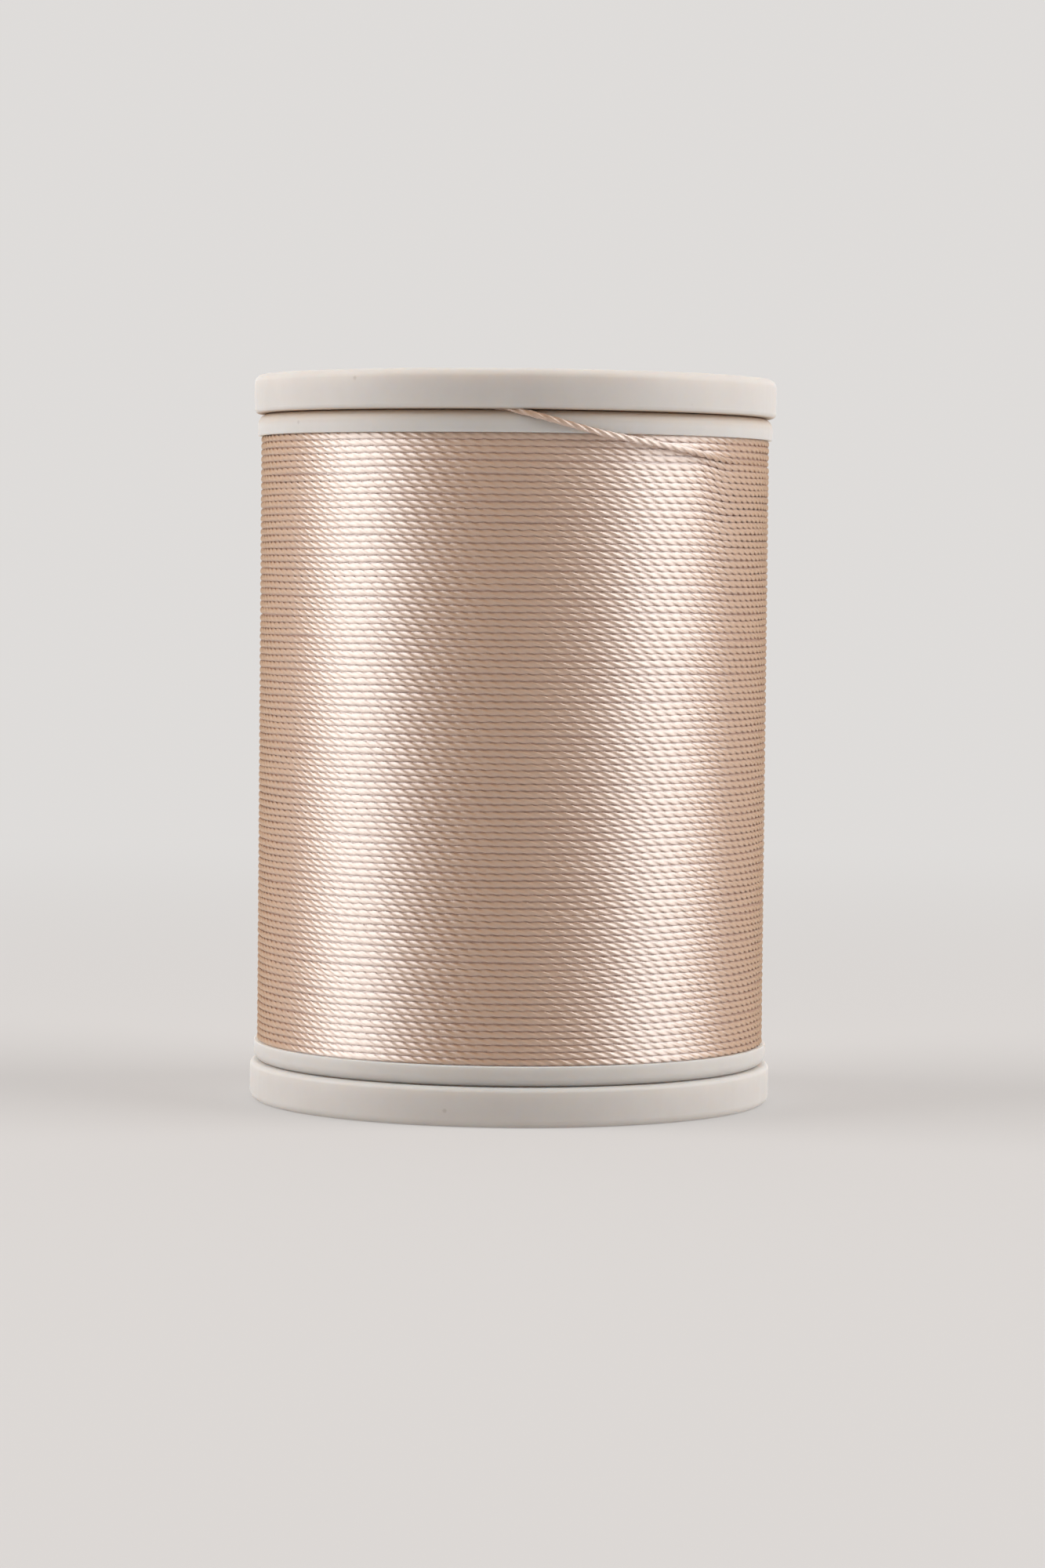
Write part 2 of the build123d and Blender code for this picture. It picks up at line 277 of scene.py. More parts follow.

# painted shade: the flange's shoulder under the top cap, which the cap's lip shades, is painted darker and
# warmer, most of all at the seam
height = add_node(tree, "ShaderNodeSeparateXYZ", Vector=place).outputs[2]
below_seam = math_node(tree, "SUBTRACT", FLANGE_TOP, height)
above_seam = math_node(tree, "MULTIPLY", below_seam, -SEAM_SHARPNESS)
from_seam = math_node(tree, "MAXIMUM", below_seam, above_seam)
seam_shade_share = smooth_range(tree, from_seam, 0.0, SEAM_REACH, low=1.0, high=0.0)
seam_shaded = blended(tree, seam_shade_share, base, SEAM_SHADE_COLOUR)

specks = add_node(tree, "ShaderNodeTexVoronoi", Vector=place, Scale=SPECK_RATE, Randomness=1.0)
to_speck = specks.outputs["Distance"]
speck = add_node(tree, "ShaderNodeMapRange", Value=to_speck, From_Min=SPECK_EDGE, From_Max=SPECK_CORE)
speck_share = math_node(tree, "MULTIPLY", speck.outputs[0], SPECK_STRENGTH)
speckled = blended(tree, speck_share, seam_shaded, SPECK_COLOUR)

streak_place = add_node(tree, "ShaderNodeMapping", Vector=place, Scale=STREAK_RATE)
streaks = noise(tree, Vector=streak_place.outputs[0], Detail=3.0, Roughness=0.6)[0]
gloss = add_node(
    tree,
    "ShaderNodeMapRange",
    Value=streaks,
    From_Min=0.3,
    From_Max=0.7,
    To_Min=GLOSSIEST,
    To_Max=DULLEST,
)
bump = add_node(tree, "ShaderNodeBump", Height=streaks, Strength=0.12, Distance=0.04 * MM)
skin = add_node(
    tree,
    "ShaderNodeBsdfPrincipled",
    Base_Color=speckled,
    Roughness=gloss.outputs[0],
    Normal=bump.outputs[0],
    IOR=1.49,
    Subsurface_Weight=0.85,
    Subsurface_Radius=(1.0, 0.75, 0.55),
    Subsurface_Scale=1.4 * MM,
)
add_node(tree, "ShaderNodeOutputMaterial", Surface=skin.outputs[0])
print("plastic:", len(tree.nodes), "nodes")


# %% [markdown]
# A turned moulding is one outline carried round the axis. The outline below is a closed list of corners,
# and a corner that is rounded on the real part gets an arc of short steps. Its faces are written out here,
# which keeps them even all the way round, and their normals are recalculated so that all point outwards.

# %% Outlines and turned pieces
ARC_STEPS = 7
TURNED_SEGMENTS = 216
SHARP_ANGLE = radians(32)


def rounded_outline(corners):
    """Corners are (radius, height, rounding). Each rounded one becomes an arc of short steps."""
    outline = []
    for index, (radius, height, rounding) in enumerate(corners):
        corner = Vector((radius, height))
        if not rounding:
            outline.append(corner)
            continue
        before = Vector(corners[index - 1][:2])
        after = Vector(corners[(index + 1) % len(corners)][:2])
        back, ahead = (before - corner).normalized(), (after - corner).normalized()
        half_angle = back.angle(ahead) / 2
        reach = rounding * cos(half_angle) / sin(half_angle)
        centre = corner + (back + ahead).normalized() * rounding / sin(half_angle)
        first, last = corner + back * reach - centre, corner + ahead * reach - centre
        sweep = first.angle_signed(last)
        for step in range(ARC_STEPS + 1):
            turned = first.copy()
            turned.rotate(Matrix.Rotation(-sweep * step / ARC_STEPS, 2))
            outline.append(centre + turned)
    return outline


def turned_mesh(name, outline, segments=TURNED_SEGMENTS):
    """A closed ring: the outline carried round the axis, with faces pointing outwards."""
    count = len(outline)
    rounds = [2 * pi * k / segments for k in range(segments)]
    points = [(p.x * cos(a), p.x * sin(a), p.y) for a in rounds for p in outline]
    faces = [
        (
            k * count + i,
            (k + 1) % segments * count + i,
            (k + 1) % segments * count + (i + 1) % count,
            k * count + (i + 1) % count,
        )
        for k in range(segments)
        for i in range(count)
    ]
    mesh = bpy.data.meshes.new(name)
    mesh.from_pydata(points, [], faces)
    shape = bmesh.new()
    shape.from_mesh(mesh)
    bmesh.ops.recalc_face_normals(shape, faces=shape.faces)
    shape.to_mesh(mesh)
    shape.free()
    return mesh


def new_piece(name, mesh, material, body):
    """A finished piece at the origin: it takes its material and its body."""
    piece = bpy.data.objects.new(name, mesh)
    bpy.context.scene.collection.objects.link(piece)
    piece.data.materials.clear()
    piece.data.materials.append(material)
    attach(piece, body)
    print(name, len(piece.data.polygons), "faces")
    return piece


# %% [markdown]
# ## Barrel and flanges
# The barrel and its two flanges are one moulding. Only the flanges' rims show, square beside the thread
# and well rounded beside the cap, where the tail can slide in. The upper flange rises a hair towards its
# rim, so that only a fine dark line shows between it and the cap. The bore's two grooves hold the caps.

# %% Spool body
BARREL_RADIUS = 7.6 * MM
BORE_RADIUS = 6.0 * MM
BORE_CHAMFER = 0.5 * MM
GROOVE_SETBACK = 3.0 * MM
GROOVE_WIDTH = 2.7 * MM
GROOVE_DEPTH = 0.35 * MM
FLANGE_SHOULDER = 0.56 * MM
FLANGE_EDGE = 0.06 * MM


def half_outline(flange_top):
    """The body's upper half section, from the middle of the bore to the middle of the barrel."""
    groove_radius = BORE_RADIUS + GROOVE_DEPTH
    groove_high = FLANGE_HIGH - GROOVE_SETBACK
    groove_low = groove_high - GROOVE_WIDTH
    return [
        (BORE_RADIUS, groove_low, 0),
        (groove_radius, groove_low, 0),
        (groove_radius, groove_high, 0),
        (BORE_RADIUS, groove_high, 0),
        (BORE_RADIUS, FLANGE_HIGH - BORE_CHAMFER, 0),
        (BORE_RADIUS + BORE_CHAMFER, FLANGE_HIGH, 0),
        (FLANGE_RADIUS, flange_top, FLANGE_SHOULDER),
        (FLANGE_RADIUS, WINDING_HIGH, FLANGE_EDGE),
        (BARREL_RADIUS, WINDING_HIGH, 0),
    ]


def body_outline():
    upper = half_outline(FLANGE_TOP)
    mirror = FLANGE_LOW + FLANGE_HIGH
    lower = [
        (radius, mirror - height, rounding)
        for radius, height, rounding in reversed(half_outline(FLANGE_HIGH))
    ]
    return rounded_outline(upper + lower)


body_mesh = turned_mesh("body_moulding", body_outline())
body_mesh.shade_smooth()
body_mesh.set_sharp_from_angle(angle=SHARP_ANGLE)
body_moulding = new_piece("body_moulding", body_mesh, plastic, "spool")
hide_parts("spool_body")

# %% [markdown]
# ## Caps
# Both caps are the same moulding: a shallow dish with a hub round the pin hole, and inside it a stem slit
# in four, so that its ridge can spring into the barrel's groove. The ridge is drawn a hair shorter than the
# model's, so that it stops just short of the groove's shoulder when a cap is pulled out. The slits are cut
# with a Boolean, which is the plainest way to take a few straight cuts out of a turned piece.

# %% Cap shape
CAP_EDGE = 0.45 * MM
CAP_LIP = 0.27 * MM
SMALL_EDGE = 0.08 * MM
PLATE_THICKNESS = 1.1 * MM
SKIRT_WALL = 1.2 * MM
STANDING_RIM = 1.3 * MM
RECESS_DEPTH = 0.3 * MM
HUB_RADIUS = 5.1 * MM
PIN_HOLE_RADIUS = 3.5 * MM
STEM_RADIUS = 5.94 * MM
STEM_WALL = 1.1 * MM
RIDGE_RADIUS = 6.19 * MM
RIDGE_LAND = 0.3 * MM
STEM_TIP = 7.53 * MM
RIDGE_LENGTH = 0.88 * MM
TIP_DRAW_IN = 0.2 * MM
SLOT_WIDTH = 1.2 * MM
SLOT_LOW = 2.1 * MM


def cap_outline():
    """A cap's half section as it lies at the bottom, end face down and stem up."""
    recess_bore = CAP_RADIUS - CAP_EDGE - STANDING_RIM
    skirt_bore = CAP_RADIUS - SKIRT_WALL
    ridge_low = STEM_TIP - RIDGE_LENGTH
    return rounded_outline(
        [
            (PIN_HOLE_RADIUS, 0, SMALL_EDGE),
            (HUB_RADIUS, 0, SMALL_EDGE),
            (HUB_RADIUS, RECESS_DEPTH, SMALL_EDGE),
            (recess_bore, RECESS_DEPTH, SMALL_EDGE),
            (recess_bore, 0, SMALL_EDGE),
            (CAP_RADIUS, 0, CAP_EDGE),
            (CAP_RADIUS, CAP_HEIGHT, CAP_LIP),
            (skirt_bore, CAP_HEIGHT, SMALL_EDGE),
            (skirt_bore, PLATE_THICKNESS, SMALL_EDGE),
            (STEM_RADIUS, PLATE_THICKNESS, SMALL_EDGE),
            (STEM_RADIUS, ridge_low, 0),
            (RIDGE_RADIUS, ridge_low, 0),
            (RIDGE_RADIUS, ridge_low + RIDGE_LAND, 0),
            (STEM_RADIUS - TIP_DRAW_IN, STEM_TIP, 0),
            (STEM_RADIUS - STEM_WALL, STEM_TIP, 0),
            (STEM_RADIUS - STEM_WALL, PLATE_THICKNESS, 0),
            (PIN_HOLE_RADIUS, PLATE_THICKNESS, SMALL_EDGE),
        ]
    )


def slot_cutter():
    """Two crossed bars, which cut the four slits."""
    cutter = bmesh.new()
    size = (4 * RIDGE_RADIUS, SLOT_WIDTH, 2 * (STEM_TIP - SLOT_LOW))
    for bearing in (45, 135):
        place = Matrix.Translation((0, 0, STEM_TIP)) @ Matrix.Rotation(radians(bearing), 4, "Z")
        bmesh.ops.create_cube(cutter, matrix=place @ Matrix.Diagonal((*size, 1)))
    mesh = bpy.data.meshes.new("slot_cutter")
    cutter.to_mesh(mesh)
    cutter.free()
    return bpy.data.objects.new("slot_cutter", mesh)


def evaluated_mesh(piece):
    """The piece's mesh after its modifiers, as a plain mesh."""
    graph = bpy.context.evaluated_depsgraph_get()
    return bpy.data.meshes.new_from_object(piece.evaluated_get(graph), depsgraph=graph)


def slotted_cap():
    plain = bpy.data.objects.new("cap_blank", turned_mesh("cap_blank", cap_outline()))
    cutter = slot_cutter()
    for blank in (plain, cutter):
        bpy.context.scene.collection.objects.link(blank)
    cut = plain.modifiers.new("slits", "BOOLEAN")
    cut.object = cutter
    cut.operation = "DIFFERENCE"
    cut.solver = "EXACT"
    cut.use_self = True
    mesh = evaluated_mesh(plain)
    for blank in (plain, cutter):
        bpy.data.objects.remove(blank)
    mesh.shade_smooth()
    mesh.set_sharp_from_angle(angle=SHARP_ANGLE)
    return mesh


cap_mesh = slotted_cap()

# %% Caps in place
bottom_cap = new_piece("bottom_cap_moulding", cap_mesh, plastic, "bottom_cap")
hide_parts("bottom_cap")

upper_mesh = cap_mesh.copy()
upper_mesh.transform(Matrix.Translation((0, 0, TOTAL_HEIGHT)) @ Matrix.Rotation(pi, 4, "X"))
top_cap = new_piece("top_cap_moulding", upper_mesh, plastic, "top_cap")
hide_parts("top_cap")

# %% [markdown]
# ## Thread
# Sewing thread is three plies of shiny filament laid round each other. Its colour is a pale tan, with a
# deeper, redder painted shade in the grooves between rows, and each ply throws a bright dash where it faces
# a lamp. The filaments are fine streaks along the plies, drawn from attributes that the winding stores. So
# many smooth filaments lie side by side that they reflect more than one fibre would, and they spread the
# light across their own direction.
# That is why the reflection is strong and anisotropic. The sheen gives the pale bloom at the sides.

# %% Thread finish
THREAD_COLOUR = (0.77, 0.425, 0.205, 1.0)
THREAD_SHADE = (0.66, 0.325, 0.13, 1.0)
# painted shade: the deeper, redder colour where rows shade each other in the grooves between them
GROOVE_SHADE_COLOUR = (0.46, 0.16, 0.065, 1.0)
GROOVE_START, GROOVE_END = 0.40, 0.95
FILAMENT_RATE = (9.0, 9.0, 1500.0)  # changes in each radius across the thread, and in each metre along it
BLOOM_COLOUR = (1.0, 0.84, 0.66, 1.0)


def stored(tree, name):
    """An attribute of the mesh, read in a material."""
    return add_node(tree, "ShaderNodeAttribute", {"attribute_name": name}).outputs


thread, tree = new_material("lustrous_tan_thread")
thread_place = stored(tree, "thread_place")["Vector"]
filament_place = add_node(tree, "ShaderNodeMapping", Vector=thread_place, Scale=FILAMENT_RATE)
filaments = noise(tree, Vector=filament_place.outputs[0], Detail=2.0, Roughness=0.5)[0]
tint = blended(tree, filaments, THREAD_SHADE, THREAD_COLOUR)
# painted shade, strongest at a row's top and bottom, where it meets its neighbours
groove_shade_share = smooth_range(tree, stored(tree, "thread_side")["Fac"], GROOVE_START, GROOVE_END)
groove_shaded = blended(tree, groove_shade_share, tint, GROOVE_SHADE_COLOUR)
filament_bump = add_node(tree, "ShaderNodeBump", Height=filaments, Strength=0.06, Distance=0.03 * MM)
fibre = add_node(
    tree,
    "ShaderNodeBsdfPrincipled",
    Base_Color=groove_shaded,
    Roughness=0.51,
    Normal=filament_bump.outputs[0],
    Tangent=stored(tree, "thread_way")["Vector"],
    Anisotropic=1.0,
    Anisotropic_Rotation=0.25,
    IOR=3.3,
    Specular_IOR_Level=1.0,
    Sheen_Weight=1.0,
    Sheen_Roughness=0.3,
    Sheen_Tint=BLOOM_COLOUR,
)
add_node(tree, "ShaderNodeOutputMaterial", Surface=fibre.outputs[0])
print("thread finish:", len(tree.nodes), "nodes")


# %% [markdown]
# ### A twisted thread from any line
# Geometry Nodes can lay one outline along a curve. Here the outline has three lobes, one for each ply, and
# the curve's tilt turns it steadily, a full turn for each lay. The winding and the tail share this group.

# %% The thread's outline
THREAD_DIAMETER = 0.36 * MM
LAY = 2.17 * MM
PLIES = 3
VALLEY = 0.56
CROWN_FULLNESS = 0.6
LOBE_POINTS = 12
UNEVENNESS = 0.15
UNEVEN_RATE = 120.0  # changes in each metre of thread


def add_socket(tree, name, kind, default=None, direction="INPUT"):
    socket = tree.interface.new_socket(name, in_out=direction, socket_type=kind)
    if default is not None:
        socket.default_value = default


def position(tree):
    return add_node(tree, "GeometryNodeInputPosition").outputs[0]


def lobed_outline(tree, given):
    """A ring whose radius dips once for each ply. Each point keeps its place on it as a captured vector."""
    ring = add_node(tree, "GeometryNodeCurvePrimitiveCircle", Resolution=LOBE_POINTS, Radius=1.0)
    index = add_node(tree, "GeometryNodeInputIndex").outputs[0]
    around = math_node(tree, "MULTIPLY", index, 2 * pi / LOBE_POINTS)
    wave = math_node(tree, "COSINE", math_node(tree, "MULTIPLY", around, PLIES / 2))
    crown = math_node(tree, "POWER", math_node(tree, "ABSOLUTE", wave), CROWN_FULLNESS)
    depth = math_node(tree, "SUBTRACT", 1.0, given["Valley"])
    lobe = math_node(tree, "MULTIPLY_ADD", crown, depth, given["Valley"])
    radius = math_node(tree, "MULTIPLY", lobe, given["Thread radius"])
    place = position(tree)
    lobed = add_node(tree, "ShaderNodeVectorMath", {"operation": "SCALE"}, _0=place, Scale=radius)
    outline = add_node(tree, "GeometryNodeSetPosition", Geometry=ring.outputs[0], Position=lobed.outputs[0])
    kept = add_node(tree, "GeometryNodeCaptureAttribute", Geometry=outline.outputs[0])
    kept.capture_items.new("VECTOR", "side")
    tree.links.new(place, kept.inputs[1])
    return kept.outputs


def twist(tree, given):
    """The tilt at each place of the line: a full turn for each lay, a little uneven."""
    slow = noise(tree, "1D", W=math_node(tree, "MULTIPLY", given["Along"], UNEVEN_RATE), Detail=1.0)[0]
    uneven = math_node(tree, "MULTIPLY", slow, math_node(tree, "MULTIPLY", given["Unevenness"], 2 * pi))
    turned = math_node(tree, "DIVIDE", math_node(tree, "MULTIPLY", given["Along"], 2 * pi), given["Lay"])
    return math_node(tree, "ADD", turned, uneven)


# %% [markdown]
# The thread's finish reads three attributes: the place in the thread, its direction, and how far a point is
# above or below the thread's middle, 0 on the crown and 1 at its top or bottom. The line's own values have
# to be captured before it is swept, and the mesh stores them afterwards.

# %% The twisted-thread group
def store(tree, mesh, name, kind, value):
    """Store a value on the mesh's points, under a name that a material can read."""
    settings = {"data_type": kind, "domain": "POINT"}
    return add_node(
        tree, "GeometryNodeStoreNamedAttribute", settings, Geometry=mesh, Name=name, Value=value
    ).outputs[0]


def twisted_thread_group():
    """A curve in, and out comes a twisted three-ply thread with the attributes of its finish."""
    tree = bpy.data.node_groups.new("twisted thread", "GeometryNodeTree")
    add_socket(tree, "Line", "NodeSocketGeometry")
    add_socket(tree, "Along", "NodeSocketFloat")
    add_socket(tree, "Thread radius", "NodeSocketFloat", THREAD_DIAMETER / 2)
    add_socket(tree, "Lay", "NodeSocketFloat", LAY)
    add_socket(tree, "Valley", "NodeSocketFloat", VALLEY)
    add_socket(tree, "Unevenness", "NodeSocketFloat", UNEVENNESS)
    add_socket(tree, "Thread", "NodeSocketGeometry", direction="OUTPUT")
    given = tree.nodes.new("NodeGroupInput").outputs
    radius = given["Thread radius"]
    outline, side = lobed_outline(tree, given)[:2]

    kept = add_node(tree, "GeometryNodeCaptureAttribute", Geometry=given["Line"])
    line_values = (
        ("FLOAT", "along", given["Along"]),
        ("VECTOR", "way", add_node(tree, "GeometryNodeInputTangent").outputs[0]),
        ("VECTOR", "middle", position(tree)),
    )
    for number, (kind, name, value) in enumerate(line_values, start=1):
        kept.capture_items.new(kind, name)
        tree.links.new(value, kept.inputs[number])
    line, along, way, middle = kept.outputs[:4]

    upright = add_node(tree, "GeometryNodeSetCurveNormal", {"mode": "Z_UP"}, Curve=line)
    twisted = add_node(
        tree, "GeometryNodeSetCurveTilt", Curve=upright.outputs[0], Tilt=twist(tree, given)
    )
    swept = add_node(
        tree,
        "GeometryNodeCurveToMesh",
        Curve=twisted.outputs[0],
        Profile_Curve=outline,
        Fill_Caps=True,
    )
    smooth = add_node(tree, "GeometryNodeSetShadeSmooth", Geometry=swept.outputs[0], Shade_Smooth=True)

    side = add_node(tree, "ShaderNodeSeparateXYZ", Vector=side).outputs
    place = add_node(
        tree,
        "ShaderNodeCombineXYZ",
        X=math_node(tree, "DIVIDE", side[0], radius),
        Y=math_node(tree, "DIVIDE", side[1], radius),
        Z=along,
    )
    middle_height = add_node(tree, "ShaderNodeSeparateXYZ", Vector=middle).outputs[2]
    height = add_node(tree, "ShaderNodeSeparateXYZ", Vector=position(tree)).outputs[2]
    off_middle = math_node(tree, "ABSOLUTE", math_node(tree, "SUBTRACT", height, middle_height))
    mesh = store(tree, smooth.outputs[0], "thread_place", "FLOAT_VECTOR", place.outputs[0])
    mesh = store(tree, mesh, "thread_way", "FLOAT_VECTOR", way)
    mesh = store(tree, mesh, "thread_side", "FLOAT", math_node(tree, "DIVIDE", off_middle, radius))
    result = tree.nodes.new("NodeGroupOutput")
    tree.links.new(mesh, result.inputs[0])
    return tree


twisted_thread = twisted_thread_group()
print("twisted thread:", len(twisted_thread.nodes), "nodes")

# %% [markdown]
# ### The winding
# The outer layer is one long spiral of about ninety rows. Its rows aren't perfect: each wanders a little
# up and down and in and out, as wound thread does. Where the tail lies in the layer, the rows below it give
# way to make room. One tree draws them all, and each of these habits is a function that adds its nodes.

# %% Sizes of the winding
ROWS = 92
ROW_STEPS = 560
ROW_HALF_WIDTH = 0.195 * MM
FLATTENED = 0.68
STEP_SHARE = 0.22
WANDER = 0.04 * MM
SHARED_RISE, OWN_RISE, OWN_SINK = 6.0, 2.4, 1.4  # in wanders, from the lowest to the highest
HELD_ROWS = 4.0
END_DIVE = 0.5 * MM
END_ROWS = 0.06
TAIL_LEVEL = 35.29 * MM
PART_FIRST, PART_LAST = radians(44), radians(118)
PART_EASE = radians(12)
PART_DOWN = 0.36 * MM
PART_FADE = 3.5 * MM
COURSE_RADIUS = WINDING_RADIUS - ROW_HALF_WIDTH
TOP_ROW = WINDING_HIGH - ROW_HALF_WIDTH
BOTTOM_ROW = WINDING_LOW + ROW_HALF_WIDTH
ROW_PITCH = (TOP_ROW - BOTTOM_ROW) / (ROWS - 1)
print(f"rows {ROW_PITCH / MM:.3f} mm apart")


# %% [markdown]
# A row wanders for two reasons: neighbours push each other the same way, and each row also strays a little
# by itself. Smooth noise gives both, read at two different speeds.

# %% Wander
def random_values(tree, given, row, across, back, reach, climb, detail):
    """Three smooth random values for a place in the winding, nearly the same where it moves little."""
    place = add_node(
        tree,
        "ShaderNodeCombineXYZ",
        X=math_node(tree, "MULTIPLY", across, reach),
        Y=math_node(tree, "MULTIPLY", back, reach),
        Z=math_node(tree, "MULTIPLY", row, climb),
    )
    colour = noise(tree, "4D", Vector=place.outputs[0], W=given["Seed"], Detail=detail)["Color"]
    return add_node(tree, "ShaderNodeSeparateXYZ", Vector=colour).outputs


def centred(tree, value, spread):
    """A random value as a number from minus half the spread to half of it."""
    return math_node(tree, "MULTIPLY_ADD", value, spread, -spread / 2)


def wander(tree, given, row, across, back):
    """How far a row rises and sinks: slowly with its neighbours, and more quickly by itself."""
    shared = random_values(tree, given, row, across, back, reach=1.6, climb=0.35, detail=2.0)
    own = random_values(tree, given, row, across, back, reach=2.2, climb=3.7, detail=1.0)
    rise = math_node(tree, "ADD", centred(tree, shared[0], SHARED_RISE), centred(tree, own[0], OWN_RISE))
    rise = math_node(tree, "MULTIPLY", rise, given["Wander"])
    sink = math_node(tree, "MULTIPLY", math_node(tree, "MULTIPLY", own[1], OWN_SINK), given["Wander"])
    # it dies away at the flanges, which hold the first and last rows straight
    last_row = math_node(tree, "SUBTRACT", given["Rows in all"], 1.0)
    nearest_end = math_node(tree, "MINIMUM", row, math_node(tree, "SUBTRACT", last_row, row))
    free = add_node(tree, "ShaderNodeMapRange", Value=nearest_end, From_Max=HELD_ROWS).outputs[0]
    return math_node(tree, "MULTIPLY", rise, free), sink


# %% [markdown]
# Each turn is laid level and steps down by one pitch near its end. An even slope would be simpler, but it
# would leave a wedge between the first row and its flange.

# %% Levels
def end_dive(tree, given, row):
    """Both ends of the spiral dive under it."""
    near_end = math_node(tree, "MINIMUM", row, math_node(tree, "SUBTRACT", given["Rows in all"], row))
    dive = smooth_range(tree, near_end, 0.0, END_ROWS, low=1.0, high=0.0)
    return math_node(tree, "MULTIPLY", dive, given["End dive"])


def row_level(tree, given, row):
    """Rows lie level, and each steps down to the next in the last part of its turn."""
    step = smooth_range(tree, math_node(tree, "FRACT", row), 1.0 - STEP_SHARE, 1.0)
    fallen = math_node(tree, "ADD", math_node(tree, "FLOOR", row), step)
    drop = math_node(tree, "MULTIPLY", fallen, given["Row pitch"])
    return math_node(tree, "SUBTRACT", given["Top row height"], drop)


def room_for_tail(tree, given, across, back, level):
    """How far a row gives way to the tail above it, at the angles where the tail lies in the layer."""
    turn = math_node(tree, "ARCTAN2", across, math_node(tree, "MULTIPLY", back, -1.0))
    opens = smooth_range(tree, turn, PART_FIRST, PART_FIRST + PART_EASE)
    closes = smooth_range(tree, turn, PART_LAST, PART_LAST - PART_EASE)
    parted = math_node(tree, "MULTIPLY", opens, closes)
    below = math_node(tree, "MAXIMUM", math_node(tree, "SUBTRACT", given["Tail level"], level), 0.0)
    fading = math_node(tree, "EXPONENT", math_node(tree, "DIVIDE", below, -PART_FADE))
    fall = math_node(tree, "MULTIPLY", fading, given["Room below tail"])
    just_above = math_node(tree, "MULTIPLY_ADD", given["Row pitch"], 0.5, given["Tail level"])
    is_below = math_node(tree, "GREATER_THAN", just_above, level)
    return math_node(tree, "MULTIPLY", math_node(tree, "MULTIPLY", fall, is_below), parted)


# %% [markdown]
# Winding under tension flattens each row. The thread is swept round first and pressed afterwards, by
# scaling each point's depth below the outermost side, so that the twist is pressed with it.

# %% Pressing
def pressed_flat(tree, given, thread_mesh):
    """The rows, flatter towards the barrel. Their outermost side stays where it is."""
    place = position(tree)
    level_place = add_node(tree, "ShaderNodeVectorMath", {"operation": "MULTIPLY"}, _0=place, _1=(1, 1, 0))
    reach = add_node(tree, "ShaderNodeVectorMath", {"operation": "LENGTH"}, _0=level_place.outputs[0])
    reach = reach.outputs["Value"]
    rim = math_node(tree, "ADD", given["Course radius"], given["Thread radius"])
    depth = math_node(tree, "SUBTRACT", rim, reach)
    pressed = math_node(tree, "SUBTRACT", rim, math_node(tree, "MULTIPLY", depth, given["Flattened"]))
    ratio = math_node(tree, "DIVIDE", pressed, reach)
    scale = add_node(tree, "ShaderNodeCombineXYZ", X=ratio, Y=ratio, Z=1.0).outputs[0]
    pressed_place = add_node(tree, "ShaderNodeVectorMath", {"operation": "MULTIPLY"}, _0=place, _1=scale)
    return add_node(
        tree, "GeometryNodeSetPosition", Geometry=thread_mesh, Position=pressed_place.outputs[0]
    ).outputs[0]


# %% [markdown]
# The winding tree puts these together: it bends a straight line of many points into the spiral, sweeps the
# twisted thread along it and presses the rows flat. Each such tree ends by making any instances real,
# because an export drops them, and by giving the result its material.

# %% Winding tree
def finish_tree(tree, mesh, material):
    real = add_node(tree, "GeometryNodeRealizeInstances", Geometry=mesh)
    coloured = add_node(tree, "GeometryNodeSetMaterial", Geometry=real.outputs[0], Material=material)
    result = tree.nodes.new("NodeGroupOutput")
    tree.links.new(coloured.outputs[0], result.inputs[0])


